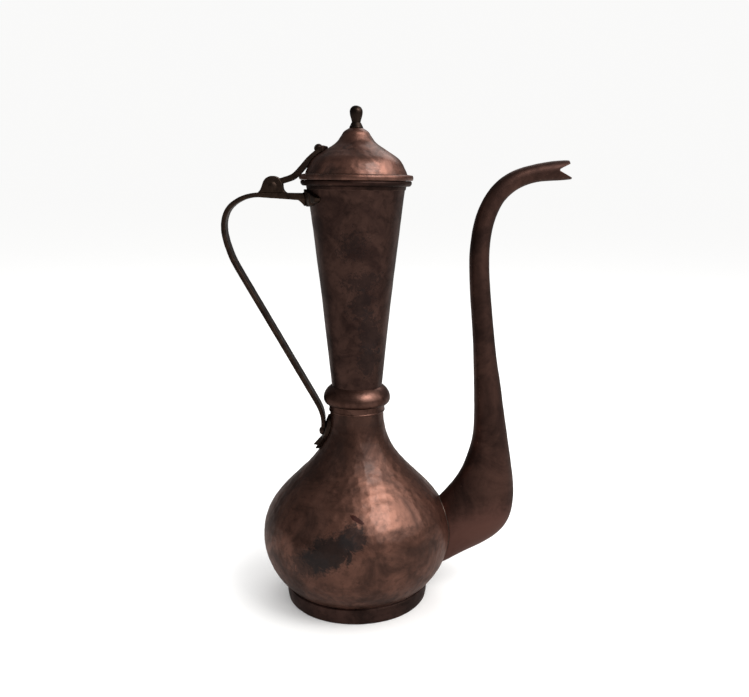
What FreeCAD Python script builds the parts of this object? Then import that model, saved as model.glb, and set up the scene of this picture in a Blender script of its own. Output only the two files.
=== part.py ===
import FreeCAD, Part
import math
import os

from FreeCAD import Vector

# Tall hammered copper coffee ewer with a swan-neck spout and a hinged domed lid.
# Millimetres. Z runs up the turned axis, the spout points along +X and the handle along -X.
# The origin is the centre of the foot, on the surface that the pot stands on.

# Sheet metal
wall = 1.2
solder_gap = 0.05
touching = 1e-6

# Foot
foot_radius = 52.1
foot_height = 12.8
foot_swell = 0.5
foot_hem = 3.2
foot_edge = 0.8
foot_lip = 1.0
base_flat_radius = 38.0
base_height = 6.0
base_dish = 1.6

# Belly: the widest ring, and how far its curves lean on their end directions
belly_radius = 68.9
belly_height = 50.3
belly_start_angle = 41.7
belly_lower_pull = 14.3
belly_shoulder_pull = 40.4
belly_throat_pull = 46.4
belly_top_radius = 19.2
belly_top_height = 143.0
belly_spigot = 10.0

# Collar sleeve and hollow bead over the joint of belly and neck
collar_thickness = 0.8
collar_length = 5.2
bead_height = 13.4
bead_swell = 4.4
# how far the bead's outline is pulled out past its swell, and the heights of the two pulls
bead_pull = 1.23
bead_low_share = 0.04
bead_high_share = 0.66
collar_edge = 0.3

# Neck: a tube that flares upwards with slightly hollow sides
neck_top_radius = 33.5
neck_top_height = 302.9
neck_hollow = 0.65
neck_tail = 3.0

# Rim band round the mouth
rim_radius = 37.3
rim_height = 3.6
rim_skirt = 2.4
rim_skirt_thickness = 0.5
rim_underside = 2.2
rim_edge = 0.7
rim_depth = 4.0

# Lid
lid_seat_gap = 0.1
lid_radius = 38.1
brim_thickness = 3.5
brim_slope = 0.5
brim_edge_round = 0.9
dome_radius = 34.2
dome_height = 29.2
# the dome's side: share of its radius, share of its height
dome_side_shares = [(1.0, 0.0), (0.966, 0.10), (0.845, 0.33), (0.602, 0.525),
                    (0.398, 0.68), (0.292, 0.835), (0.240, 0.925), (0.143, 1.0)]
bezel_depth = 6.5
bezel_clearance = 0.5
bezel_lead = 0.4

# Finial
finial_height = 14.2
finial_radius = 4.3
finial_waist = 3.1
finial_collar_radius = 4.6
finial_collar_height = 3.6
finial_stem_radius = 1.8
finial_washer_radius = 4.2
finial_washer_thickness = 0.8
finial_stem_end = 1.0
finial_step = 0.6
finial_tip_round = 0.7
# the bud's side from the collar up: share of the waist or the radius, share of the bud's height
finial_foot_share = 0.94
finial_throat = (1.06, 0.17)
finial_full_height = 0.64
finial_crown_share = 0.62

# Spout: points of its two sides in the plane of symmetry, measured from the belly's widest point,
# first the side towards the neck, then the outer side, then the section's width across the pot
spout_sections = [
    ((-17.0, 12.0), (-19.0, -30.3), 26.0),
    ((-7.0, 26.4), (8.8, -19.9), 29.0),
    ((4.6, 41.0), (30.5, -8.5), 30.5),
    ((10.3, 52.5), (44.6, 6.9), 29.0),
    ((13.8, 63.6), (47.8, 28.5), 26.5),
    ((16.0, 77.0), (44.1, 57.5), 23.5),
    ((15.8, 101.0), (37.0, 97.5), 20.0),
    ((13.8, 138.5), (30.1, 137.5), 16.8),
    ((10.2, 178.0), (24.7, 179.0), 14.6),
    ((9.2, 208.0), (22.8, 206.0), 14.0),
    ((13.2, 232.0), (25.8, 227.6), 13.8),
    ((22.6, 249.5), (32.9, 241.6), 13.4),
    ((38.0, 260.7), (44.4, 250.0), 12.8),
    ((57.5, 266.0), (58.5, 253.6), 12.4),
    ((77.0, 267.3), (77.0, 255.0), 12.6),
]
spout_wall = 1.2
# the beak: an open V between two jaws, the upper one shorter
beak_depth = 10.2
beak_gape = 9.9
upper_jaw_trim = 2.0

# Handle: a cast strap
handle_width = 14.0
handle_thickness = 3.0
handle_edge_round = 0.8
arm_top_drop = 8.6
arm_root_thickness = 5.0
arm_length = 32.5
# the gussets above and below the arm where it meets the palmette
gusset_reach = 4.6
gusset_drop = 3.4
gusset_top_reach = 1.8
gusset_rise = 2.4
# the bend beyond the level arm: points of the strap's middle line, measured from the arm's end
bend_points = [(-13.8, -3.5), (-19.6, -8.0), (-24.2, -21.9), (-21.0, -37.2), (-13.5, -53.2)]
# the strap's lower end on the belly's throat: it stops just above the leaf's rivet
tail_stand = 4.9
tail_length = 3.6
tail_clearance = 0.8
tail_bend_rise = 9.5
tail_bend_stand = 10.6

# Palmette that spreads the arm's root over the neck
palmette_half_width = 22.5
palmette_rise = 5.0
palmette_drop = 4.4
palmette_lobes = 7
palmette_lobe_depth = 2.0
palmette_thickness = 2.6
# the grooves between its lobes
flute_radius = 1.6
flute_depth = 0.7

# Leaf that carries the strap's tail on the throat, with a small tongue turned out near its tip
leaf_half_width = 7.5
# how far its outline is pulled out at the top and at the middle, as shares of the half width
leaf_top_pull = 1.2
leaf_side_pull = 1.5
leaf_top_gap = 3.2
leaf_length = 25.9
leaf_thickness = 2.6
tongue_rise = 3.0
tongue_length = 6.4
tongue_reach = 3.2
tongue_edge = 0.7
tongue_half_width = 4.1
leaf_rivet_radius = 1.6
leaf_rivet_head_radius = 3.3
leaf_rivet_head_height = 3.3
leaf_rivet_rise = 13.0

# Lid hinge: two cheeks on the arm, a pin, and the knuckle of the lid's strap
hinge_reach = 18.2
hinge_drop = 4.3
pin_radius = 1.6
pin_clearance = 0.05
pin_head_radius = 2.9
pin_head_height = 0.8
cheek_radius = 6.6
cheek_thickness = 2.6
cheek_foot = 2.8
cheek_back_foot = 4.0
cheek_back_angle = 160.0
cheek_flare_share = 0.8
knuckle_width = 6.6
knuckle_side_gap = 0.2
knuckle_radius = 3.6
lid_open_angle = 110.0
heel_width = 2.4
heel_gap = 0.12

# Lid strap, measured from the hinge pin: its middle line from the knuckle to the end on the dome
strap_points = [(4.6, 2.9), (9.6, 4.6), (13.6, 6.2), (17.2, 9.3),
                (20.8, 13.2), (25.0, 17.7), (29.0, 21.1), (33.0, 23.8), (36.5, 25.8)]
strap_thickness = 4.0
strap_root_half = 1.9
strap_shoulder = 9.2
strap_flare = 13.2
strap_end_width = 10.0
strap_end_round = 3.4
strap_end_past = 0.6
# the strap's top is filed down towards its end, from the knob to the edge
strap_file_start = (30.6, 27.0)
strap_file_end = (37.6, 25.7)
rivet_tail_height = 0.9
rivet_tail_share = 0.75
rivet_overlap = 0.2
strap_rivet_radius = 1.5
strap_rivet_head_radius = 3.0
strap_rivet_head_height = 2.8
strap_rivet_reach = 32.0
flush_rivet_reach = 25.5

origin = Vector(0, 0, 0)
up = Vector(0, 0, 1)


# General helpers

def point(x, z, y=0.0):
    return Vector(x, y, z)


def line(a, b):
    return Part.LineSegment(a, b).toShape()


def bezier(*poles):
    curve = Part.BezierCurve()
    curve.setPoles(list(poles))
    return curve


def spline(points, start=None, end=None):
    curve = Part.BSplineCurve()
    if start is None:
        curve.interpolate(points)
    else:
        curve.interpolate(Points=points, InitialTangent=start, FinalTangent=end)
    return curve


def inset(curve, depth, count=16):
    # a curve that runs beside another one, depth towards its right-hand side in the XZ plane
    points = []
    low = curve.FirstParameter
    high = curve.LastParameter
    for index in range(count + 1):
        here = low + (high - low) * index / count
        ahead = curve.tangent(here)[0]
        side = Vector(ahead.z, 0, -ahead.x)
        points.append(curve.value(here) + side * depth)
    return spline(points, curve.tangent(low)[0], curve.tangent(high)[0])


def reversed_chain(curves):
    chain = []
    for curve in reversed(curves):
        turned = curve.copy()
        turned.reverse()
        chain.append(turned)
    return chain


def ring_wire(edges):
    # joins a chain of curves and corner points into one closed wire
    shapes = []
    corners = []
    for item in edges:
        if isinstance(item, Vector):
            corners.append((item, item))
            shapes.append(None)
        else:
            shape = item.toShape()
            corners.append((item.value(item.FirstParameter), item.value(item.LastParameter)))
            shapes.append(shape)
    closed = []
    for index, shape in enumerate(shapes):
        if shape is not None:
            closed.append(shape)
        end = corners[index][1]
        start = corners[(index + 1) % len(corners)][0]
        if end.distanceToPoint(start) > touching:
            closed.append(line(end, start))
    return Part.Wire(Part.sortEdges(closed)[0])


def revolved(edges):
    face = Part.Face(ring_wire(edges))
    return face.revolve(origin, up, 360)


def slab(edges, width, middle=0.0):
    # a side view in the XZ plane, given a width across the pot
    face = Part.Face(ring_wire(edges))
    face.translate(Vector(0, middle - width / 2, 0))
    return face.extrude(Vector(0, width, 0))


def biggest(shape):
    return max(shape.Solids, key=lambda solid: solid.Volume)


def domed_head(seat, out, radius, height):
    # the cap of a sphere, standing on a seat
    sphere_radius = (radius ** 2 + height ** 2) / (2 * height)
    ball = Part.makeSphere(sphere_radius, seat + out * (height - sphere_radius))
    return ball.common(Part.makeCylinder(2 * radius, 2 * height, seat, out))


# Turned outlines

def belly_lower_curve():
    lean = math.radians(belly_start_angle)
    start = point(foot_radius, foot_height)
    out = point(math.cos(lean), math.sin(lean))
    end = point(belly_radius, belly_height)
    return bezier(start, start + out * belly_lower_pull, end - up * belly_lower_pull, end)


def belly_upper_curve():
    start = point(belly_radius, belly_height)
    end = point(belly_top_radius, belly_top_height)
    return bezier(start, start + up * belly_shoulder_pull, end - up * belly_throat_pull, end)


def base_curve():
    # from the middle of the base out to the foot crease
    lean = math.radians(belly_start_angle)
    end = point(foot_radius, foot_height)
    back = point(math.cos(lean), math.sin(lean))
    reach = (foot_radius - base_flat_radius) / 2
    flat = point(base_flat_radius, base_height)
    return bezier(flat, flat + point(reach, 0), end - back * reach, end)


spigot_top = belly_top_height + belly_spigot
neck_foot_radius = belly_top_radius - wall - solder_gap
collar_low = belly_top_height + collar_edge
bead_low = collar_low + collar_length
bead_high = bead_low + bead_height
neck_low = belly_top_height + neck_tail


def neck_curve():
    start = point(neck_foot_radius, bead_high)
    end = point(neck_top_radius, neck_top_height)
    middle = (start + end) * 0.5
    return bezier(start, middle - point(2 * neck_hollow, 0), end)


def seek(curve, passed):
    # the parameter at which a point that runs along a curve first passes a test
    low = curve.FirstParameter
    high = curve.LastParameter
    for step in range(50):
        middle = (low + high) / 2
        if passed(curve.value(middle)):
            high = middle
        else:
            low = middle
    return low


def radius_at(curve, height):
    return curve.value(seek(curve, lambda place: place.z > height)).x


def sheet_frame(curve, here):
    # a point of a turned outline on the handle's side, and the direction straight out of the sheet
    place = curve.value(here)
    along = curve.tangent(here)[0]
    return point(-place.x, place.z), Vector(-along.z, 0, -along.x)


def belly_body():
    # the belly as if it were solid metal, up to the top of its spigot
    return revolved([point(0, base_height + base_dish), base_curve(), belly_lower_curve(),
                     belly_upper_curve(), point(belly_top_radius, spigot_top),
                     point(0, spigot_top)])


def neck_body():
    return revolved([point(0, neck_low), point(neck_foot_radius, neck_low), neck_curve(),
                     point(0, neck_top_height)])


def sheet_over(curve, thickness):
    # a sheet that lies on a turned outline
    return revolved([curve, *reversed_chain([inset(curve, thickness)])])


def core_under(curve, thickness):
    # everything inside a sheet that lies on a turned outline, and the sheet with it
    side = inset(curve, thickness)
    low = side.value(side.FirstParameter)
    high = side.value(side.LastParameter)
    return revolved([point(0, low.z), side, point(0, high.z)])


# Spout

def spout_place(offset):
    return point(belly_radius + offset[0], belly_height + offset[1])


def half_oval(entry, shrink):
    # the rear half of one oval section, closed along the plane of symmetry
    inner = spout_place(entry[0])
    outer = spout_place(entry[1])
    middle = (inner + outer) * 0.5
    across = (outer - inner).normalize()
    half_depth = (outer - inner).Length / 2 - shrink
    half_width = entry[2] / 2 - shrink
    side = Vector(0, 1, 0)
    if half_depth >= half_width:
        oval = Part.Ellipse(middle + across * half_depth, middle + side * half_width, middle)
        bow = Part.ArcOfEllipse(oval, 0, math.pi)
    else:
        oval = Part.Ellipse(middle + side * half_width, middle - across * half_depth, middle)
        bow = Part.ArcOfEllipse(oval, -math.pi / 2, math.pi / 2)
    chord = line(middle - across * half_depth, middle + across * half_depth)
    return Part.Wire([bow.toShape(), chord])


def spout_body(shrink):
    rear = Part.makeLoft([half_oval(entry, shrink) for entry in spout_sections], True, False)
    front = rear.mirror(origin, Vector(0, 1, 0))
    return rear.fuse(front).removeSplitter()


spout_bore = spout_body(spout_wall)


def beak_cut():
    # the V between the jaws, and what the upper jaw lacks of the lower one's length
    top = spout_place(spout_sections[-1][0])
    low = spout_place(spout_sections[-1][1])
    end_x = max(top.x, low.x)
    root = point(end_x - beak_depth, (top.z + low.z) / 2)
    past = 1 + spout_wall / beak_depth
    upper = root + point(beak_depth, beak_gape / 2)
    lower = root + point(beak_depth, -beak_gape / 2)
    notch = slab([root, root + (upper - root) * past, root + (lower - root) * past], belly_radius)
    trim_low = point(end_x - upper_jaw_trim, root.z)
    trim_high = point(end_x + spout_wall, top.z + spout_wall)
    trim = slab([trim_low, point(trim_low.x, trim_high.z), trim_high, point(trim_high.x, root.z)],
                belly_radius)
    return notch.fuse(trim)


def spout():
    shell = spout_body(0.0).cut(spout_bore)
    shell = shell.cut(belly_body())
    shell = shell.cut(beak_cut())
    return biggest(shell)


# Pot body

def foot_ring():
    top = foot_height + foot_lip
    inside = foot_radius - wall - foot_edge / 2
    outer = bezier(point(foot_radius - foot_edge / 2, foot_edge),
                   point(foot_radius + 2 * foot_swell, foot_height / 2),
                   point(foot_radius - foot_edge / 4, top))
    skirt = revolved([point(foot_radius - foot_hem, 0), point(foot_radius - wall, 0), outer,
                      point(inside, top), point(inside, wall), point(foot_radius - foot_hem, wall)])
    return biggest(skirt.cut(belly_body()))


def belly_lower():
    inner_side = inset(belly_lower_curve(), -wall)
    inner_base = inset(base_curve(), -wall)
    shell = revolved([point(0, base_height + base_dish), base_curve(), belly_lower_curve(),
                      point(belly_radius - wall, belly_height),
                      *reversed_chain([inner_base, inner_side]),
                      point(0, base_height + base_dish + wall)])
    return biggest(shell.cut(spout_bore))


def belly_upper():
    inner = inset(belly_upper_curve(), -wall)
    shell = revolved([belly_upper_curve(), point(belly_top_radius, spigot_top),
                      point(belly_top_radius - wall, spigot_top), *reversed_chain([inner])])
    shell = shell.cut(spout_bore).cut(leaf_rivet_hole())
    return biggest(shell)


def neck_collar():
    outer = belly_top_radius + collar_thickness
    return revolved([point(belly_top_radius, collar_low), point(outer, collar_low + collar_edge),
                     point(outer, bead_low), point(belly_top_radius, bead_low)])


def neck_bead():
    # its fullest ring is above the middle
    sleeve = belly_top_radius + collar_thickness
    full = sleeve + bead_swell * bead_pull
    outer = bezier(point(sleeve, bead_low), point(full, bead_low + bead_height * bead_low_share),
                   point(full, bead_low + bead_height * bead_high_share),
                   point(neck_foot_radius, bead_high))
    inner = inset(outer, -wall)
    ring = revolved([outer, *reversed_chain([inner])])
    core = Part.makeCylinder(belly_top_radius, spigot_top)
    return biggest(ring.cut(core).cut(neck_body()))


def neck_tube():
    inner = inset(neck_curve(), -wall)
    tube = revolved([point(neck_foot_radius, neck_low), neck_curve(), *reversed_chain([inner]),
                     point(neck_foot_radius - wall, neck_low)])
    # the mouth is dressed flat
    return biggest(tube.cut(Part.makeCylinder(rim_radius, wall, point(0, neck_top_height))))


def rim_band():
    lip = neck_top_height - rim_height
    low = lip - rim_skirt
    inside = neck_top_radius - rim_depth
    under = neck_top_radius + rim_underside
    edge = bezier(point(under, lip), point(rim_radius + rim_edge / 3, lip + rim_edge),
                  point(rim_radius + rim_edge / 2, neck_top_height - rim_edge),
                  point(rim_radius - rim_edge, neck_top_height))
    skirt_low = radius_at(neck_curve(), low) + rim_skirt_thickness
    skirt_high = radius_at(neck_curve(), lip) + rim_skirt_thickness
    ring = revolved([point(inside, low), point(skirt_low, low), point(skirt_high, lip), edge,
                     point(inside, neck_top_height)])
    return biggest(ring.cut(neck_body()))


# Handle

arm_top = neck_top_height - arm_top_drop
arm_root = radius_at(neck_curve(), arm_top - arm_root_thickness / 2)
arm_end = arm_root + arm_length
leaf_top = belly_top_height - leaf_top_gap
leaf_tip = leaf_top - leaf_length
tongue_low = leaf_tip + tongue_rise
leaf_rivet_height = leaf_tip + leaf_rivet_rise
leaf_rivet_stand = leaf_thickness + 2 * solder_gap
tail_low = leaf_rivet_height + leaf_rivet_head_radius + tail_clearance
pin_x = -(rim_radius + hinge_reach)
pin_z = neck_top_height - hinge_drop


def handle_bend():
    # the middle line of the strap from the end of the level arm round to the straight run
    start = point(-arm_end, arm_top - handle_thickness / 2)
    places = [start] + [start + point(x, z) for x, z in bend_points]
    run = (tail_start() - places[-1]).normalize()
    return spline(places, Vector(-1, 0, 0), run)


def tail_start():
    return point(-(belly_top_radius + tail_bend_stand), belly_top_height + tail_bend_rise)


def handle_tail():
    # the middle line of the strap's last turn, down along the throat
    run = handle_bend().tangent(handle_bend().LastParameter)[0]
    end = point(-(belly_top_radius + tail_stand), tail_low + tail_length)
    return spline([tail_start(), end], run, Vector(0, 0, -1))


def rounded_sides(bar, radius, width):
    # rounds the long edges on both sides of a bar
    half = width / 2
    long_edges = [edge for edge in bar.Edges
                  if all(abs(abs(vertex.Point.y) - half) < touching for vertex in edge.Vertexes)]
    return bar.makeFillet(radius, long_edges)


def arm_gusset():
    # fills the corners between the arm and the palmette, above and below
    face = arm_root + palmette_thickness
    under = arm_top - arm_root_thickness
    inside = point(-arm_root + palmette_thickness, under)
    low = under - gusset_drop
    below = bezier(point(-face, low), point(-face - gusset_reach / 3, under - gusset_drop / 3),
                   point(-face - gusset_reach, under + handle_edge_round))
    above = bezier(point(-face - gusset_top_reach, arm_top), point(-face, arm_top),
                   point(-face, arm_top + gusset_rise))
    return slab([below, above, point(inside.x, arm_top + gusset_rise), point(inside.x, low)],
                handle_width - 2 * handle_edge_round)


def handle_strap():
    half = handle_thickness / 2
    bend = handle_bend()
    tail = handle_tail()
    foot = tail.value(tail.LastParameter) - up * tail_length
    root_x = -arm_root + palmette_thickness
    strap = slab([point(root_x, arm_top), inset(bend, half), inset(tail, half),
                  foot - point(half, 0), foot + point(half, 0),
                  *reversed_chain([inset(bend, -half), inset(tail, -half)]),
                  point(root_x, arm_top - arm_root_thickness)], handle_width)
    strap = rounded_sides(strap, handle_edge_round, handle_width)
    strap = strap.fuse(arm_gusset())
    strap = strap.cut(core_under(neck_curve(), palmette_thickness))
    strap = strap.cut(core_under(belly_upper_curve(), leaf_thickness))
    return biggest(strap)


def neck_palmette():
    middle = arm_top - arm_root_thickness / 2
    top = Part.Arc(Vector(0, -palmette_half_width, middle), Vector(0, 0, middle + palmette_rise),
                   Vector(0, palmette_half_width, middle)).toShape()
    edges = [top]
    step = 2 * palmette_half_width / palmette_lobes
    corners = []
    for index in range(palmette_lobes + 1):
        y = palmette_half_width - index * step
        share = abs(y) / palmette_half_width
        corners.append(Vector(0, y, middle - palmette_drop * math.sqrt(1 - share ** 2)))
    for start, end in zip(corners, corners[1:]):
        belly_of_lobe = (start + end) * 0.5 - up * palmette_lobe_depth
        edges.append(Part.Arc(start, belly_of_lobe, end).toShape())
    outline = Part.Face(Part.Wire(Part.sortEdges(edges)[0]))
    prism = outline.extrude(Vector(-2 * neck_top_radius, 0, 0))
    shell = sheet_over(neck_curve(), palmette_thickness).common(prism)
    for corner in corners[1:-1]:
        if abs(corner.y) > handle_width / 2:
            shell = shell.cut(palmette_flute(corner.y, middle))
    return biggest(shell)


def palmette_flute(y, height):
    # a round-bottomed groove that runs up the palmette's face, clear of the arm
    curve = neck_curve()
    here = seek(curve, lambda place: place.z > height)
    place, out = sheet_frame(curve, here)
    tilt = curve.tangent(here)[0]
    stand = palmette_thickness + flute_radius - flute_depth
    length = 2 * (palmette_rise + palmette_drop + palmette_lobe_depth)
    along = Vector(-tilt.x, 0, tilt.z)
    groove = Part.makeCylinder(flute_radius, length, place + out * stand - along * (length / 2), along)
    groove.rotate(origin, up, -math.degrees(math.asin(y / (-place.x + palmette_thickness))))
    return groove


def leaf_side(side):
    # one edge of the leaf, seen along X, from its top to its tip
    middle = (leaf_top + leaf_tip) / 2
    reach = side * leaf_half_width
    return bezier(Vector(0, 0, leaf_top), Vector(0, reach * leaf_top_pull, leaf_top),
                  Vector(0, reach * leaf_side_pull, middle), Vector(0, 0, leaf_tip))


def leaf_tongue():
    reach = radius_at(belly_upper_curve(), tongue_low)
    root_x = -reach + leaf_thickness
    end_x = -reach - leaf_thickness - tongue_reach
    side = slab([point(root_x, tongue_low + tongue_length), point(-reach, tongue_low + tongue_length),
                 point(end_x, tongue_low + tongue_edge), point(end_x, tongue_low),
                 point(root_x, tongue_low)], 2 * leaf_half_width)
    plan = Part.makePolygon([Vector(root_x, tongue_half_width, 0), Vector(end_x - tongue_edge, 0, 0),
                             Vector(root_x, -tongue_half_width, 0), Vector(root_x, tongue_half_width, 0)])
    return side.common(Part.Face(plan).extrude(up * belly_top_height)).cut(belly_body())


def handle_leaf():
    sides = [leaf_side(1).toShape(), leaf_side(-1).toShape()]
    outline = Part.Face(Part.Wire(Part.sortEdges(sides)[0]))
    prism = outline.extrude(Vector(-2 * belly_radius, 0, 0))
    leaf = sheet_over(belly_upper_curve(), leaf_thickness).common(prism)
    return biggest(leaf.fuse(leaf_tongue()).cut(leaf_rivet_hole()).cut(leaf_rivet_seat()))


def leaf_rivet_axis():
    curve = belly_upper_curve()
    return sheet_frame(curve, seek(curve, lambda place: place.z > leaf_rivet_height))


def leaf_rivet_hole():
    place, out = leaf_rivet_axis()
    reach = 2 * leaf_rivet_head_radius
    return Part.makeCylinder(leaf_rivet_radius + solder_gap, 2 * reach, place - out * reach, out)


def leaf_rivet_seat():
    # clears the rivet's head where the tongue rises beside it
    place, out = leaf_rivet_axis()
    radius = leaf_rivet_head_radius + solder_gap
    return Part.makeCylinder(radius, 2 * radius, place + out * leaf_rivet_stand, out)


def rivet(place, out, inner, outer, radius, head_radius, head_height):
    # a shank between two heads: inner and outer are the places of the two head seats along out
    length = outer - inner + 2 * rivet_overlap
    shank = Part.makeCylinder(radius, length, place + out * (inner - rivet_overlap), out)
    dome = domed_head(place + out * outer, out, head_radius, head_height)
    tail = Part.makeCylinder(head_radius * rivet_tail_share, rivet_tail_height,
                             place + out * (inner - rivet_tail_height), out)
    return shank.fuse(dome).fuse(tail).removeSplitter()


def leaf_rivet():
    place, out = leaf_rivet_axis()
    return biggest(rivet(place, out, -wall - rivet_overlap, leaf_rivet_stand, leaf_rivet_radius,
                         leaf_rivet_head_radius, leaf_rivet_head_height))


# Hinge

cheek_inside = knuckle_width / 2 + knuckle_side_gap
pin_at = point(pin_x, pin_z)


def turned_pin(radius, low, high):
    return Part.makeCylinder(radius, high - low, Vector(pin_x, low, pin_z), Vector(0, 1, 0))


def hinge_cheek(side):
    # a round-topped lug whose feet run out along the arm, longer on the handle's side
    drop = pin_z - arm_top
    lean = math.radians(cheek_back_angle)
    front = point(cheek_radius, 0)
    back = point(math.cos(lean), math.sin(lean)) * cheek_radius
    falling = point(-math.sin(lean), math.cos(lean))
    front_foot = point(cheek_radius + cheek_foot, -drop)
    back_foot = point(-cheek_radius - cheek_back_foot, -drop)
    over = Part.Arc(pin_at + back, pin_at + point(0, cheek_radius), pin_at + front)
    flare_front = bezier(pin_at + front, pin_at + point(cheek_radius, -drop * cheek_flare_share),
                         pin_at + front_foot)
    flare_back = bezier(pin_at + back_foot, pin_at + back_foot + point(cheek_back_foot / 2, 0),
                        pin_at + back + falling * (cheek_radius / 2), pin_at + back)
    middle = side * (cheek_inside + cheek_thickness / 2)
    cheek = slab([over, flare_front, flare_back], cheek_thickness, middle)
    return biggest(cheek.cut(turned_pin(pin_radius, -handle_width, handle_width)))


def hinge_pin():
    reach = cheek_inside + cheek_thickness
    pin = turned_pin(pin_radius, -reach - rivet_overlap, reach + rivet_overlap)
    for side in (-1, 1):
        seat = Vector(pin_x, side * reach, pin_z)
        pin = pin.fuse(domed_head(seat, Vector(0, side, 0), pin_head_radius, pin_head_height))
    return biggest(pin.removeSplitter())


# Lid

seat_z = neck_top_height + lid_seat_gap
dome_low = seat_z + brim_thickness + brim_slope
lid_top = dome_low + dome_height
bezel_radius = radius_at(neck_curve(), seat_z - bezel_depth) - wall - bezel_clearance
stem_hole = finial_stem_radius + solder_gap


def dome_curve():
    return spline([point(dome_radius * share, dome_low + dome_height * rise)
                   for share, rise in dome_side_shares])


def brim_edge():
    start = lid_radius - brim_edge_round
    top = seat_z + brim_thickness
    return bezier(point(start, seat_z), point(lid_radius + brim_edge_round / 2, seat_z),
                  point(lid_radius + brim_edge_round / 2, top), point(start, top))


def lid_body():
    return revolved([point(0, seat_z), brim_edge(), dome_curve(), point(0, lid_top)])


def lid_dome():
    inner = inset(dome_curve(), -wall)
    shell = revolved([point(bezel_radius, seat_z), brim_edge(), dome_curve(),
                      point(stem_hole, lid_top), point(stem_hole, lid_top - wall),
                      *reversed_chain([inner]), point(bezel_radius, dome_low - wall)])
    for reach in (strap_rivet_reach, flush_rivet_reach):
        shell = shell.cut(strap_rivet_hole(reach))
    return biggest(shell)


def lid_bezel():
    low = seat_z - bezel_depth
    top = seat_z + brim_thickness - bezel_lead
    inside = bezel_radius - wall
    return revolved([point(inside, low), point(bezel_radius, low + bezel_lead), point(bezel_radius, top),
                     point(inside, top)])


def finial_collar():
    top = lid_top + finial_collar_height
    return revolved([point(stem_hole, lid_top), point(finial_collar_radius, lid_top),
                     point(finial_collar_radius, lid_top + finial_step),
                     point(finial_waist, top), point(stem_hole, top)])


def finial():
    low = lid_top + finial_collar_height
    high = lid_top + finial_height
    crown = finial_radius * finial_crown_share
    throat = point(finial_waist * finial_throat[0], low + (high - low) * finial_throat[1])
    full = point(finial_radius, low + (high - low) * finial_full_height)
    bud = spline([point(finial_waist * finial_foot_share, low), throat, full,
                  point(crown, high - finial_tip_round)])
    tip = bezier(point(crown, high - finial_tip_round), point(crown / 2, high), point(0, high))
    stem_low = lid_top - wall - finial_washer_thickness - finial_stem_end
    return biggest(revolved([point(0, stem_low), point(finial_stem_radius, stem_low),
                             point(finial_stem_radius, low), bud, tip]))


def finial_washer():
    top = lid_top - wall - solder_gap
    low = top - finial_washer_thickness
    return revolved([point(stem_hole, top), point(stem_hole, low), point(finial_washer_radius, low),
                     point(finial_washer_radius, top)])


def strap_middle():
    points = [pin_at + point(x, z) for x, z in strap_points]
    return spline(points)


def strap_rivet_axis(reach):
    curve = dome_curve()
    return sheet_frame(curve, seek(curve, lambda place: place.x < -(pin_x + reach)))


def strap_rivet_hole(reach):
    place, out = strap_rivet_axis(reach)
    length = 2 * (strap_thickness + wall)
    return Part.makeCylinder(strap_rivet_radius + solder_gap, 2 * length, place - out * length, out)


def strap_bar():
    # the strap before its knuckle is added and its rivet holes are drilled
    middle = strap_middle()
    over = inset(middle, -strap_thickness / 2)
    under = inset(middle, strap_thickness / 2)
    root = pin_at + up * strap_root_half
    bar = slab([root, over, *reversed_chain([under]), root - up * (2 * strap_root_half)], strap_end_width)
    start_half = knuckle_width / 2
    end_half = strap_end_width / 2
    shoulder = pin_x + strap_shoulder
    end_x = pin_x + strap_points[-1][0] + strap_end_past
    round_x = end_x - strap_end_round
    near_side = [Vector(pin_x, -start_half, 0), Vector(shoulder, -start_half, 0),
                 Vector(shoulder + strap_flare, -end_half, 0), Vector(round_x, -end_half, 0)]
    far_side = [Vector(corner.x, -corner.y, 0) for corner in reversed(near_side)]
    plan = Part.makePolygon(near_side + [Vector(end_x, 0, 0)] + far_side + near_side[:1])
    bar = bar.common(Part.Face(plan).extrude(up * 2 * lid_top))
    start = pin_at + point(*strap_file_start)
    end = pin_at + point(*strap_file_end)
    filed = slab([start, start + up * strap_thickness, end + up * strap_thickness, end], strap_end_width)
    return bar.cut(filed).cut(lid_body())


def lid_strap():
    knuckle = turned_pin(knuckle_radius, -knuckle_width / 2, knuckle_width / 2)
    whole = strap_bar().fuse(knuckle).fuse(stop_heel())
    whole = whole.cut(turned_pin(pin_radius + pin_clearance, -handle_width, handle_width))
    for reach in (strap_rivet_reach, flush_rivet_reach):
        whole = whole.cut(strap_rivet_hole(reach))
    return biggest(whole.removeSplitter())


def stop_heel():
    # a flat on the back of the knuckle that lands on the arm when the lid is fully open
    depth = pin_z - arm_top - heel_gap
    half = knuckle_width / 2
    block = Part.makeBox(heel_width, knuckle_width, depth, Vector(-heel_width, -half, -depth))
    block.rotate(origin, Vector(0, -1, 0), -lid_open_angle)
    block.translate(pin_at)
    return block


def strap_end_rivet():
    place, out = strap_rivet_axis(strap_rivet_reach)
    column = Part.makeCylinder(strap_rivet_radius, 2 * strap_thickness, place, out)
    top = max((vertex.Point - place).dot(out) for vertex in strap_bar().common(column).Vertexes)
    return biggest(rivet(place, out, -wall - solder_gap, top, strap_rivet_radius,
                         strap_rivet_head_radius, strap_rivet_head_height))


def strap_flush_rivet():
    # filed off level with the strap, with a flat head inside the lid that stands clear of its curve
    place, out = strap_rivet_axis(flush_rivet_reach)
    column = Part.makeCylinder(strap_rivet_radius, 2 * strap_thickness, place + out * solder_gap, out)
    low = -wall - 4 * solder_gap
    shank = Part.makeCylinder(strap_rivet_radius, 2 * solder_gap - low + rivet_overlap,
                              place + out * (low - rivet_overlap), out)
    head = Part.makeCylinder(strap_rivet_head_radius * rivet_tail_share, rivet_tail_height,
                             place + out * (low - rivet_tail_height), out)
    return biggest(strap_bar().common(column).fuse(shank).fuse(head).removeSplitter())


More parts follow.
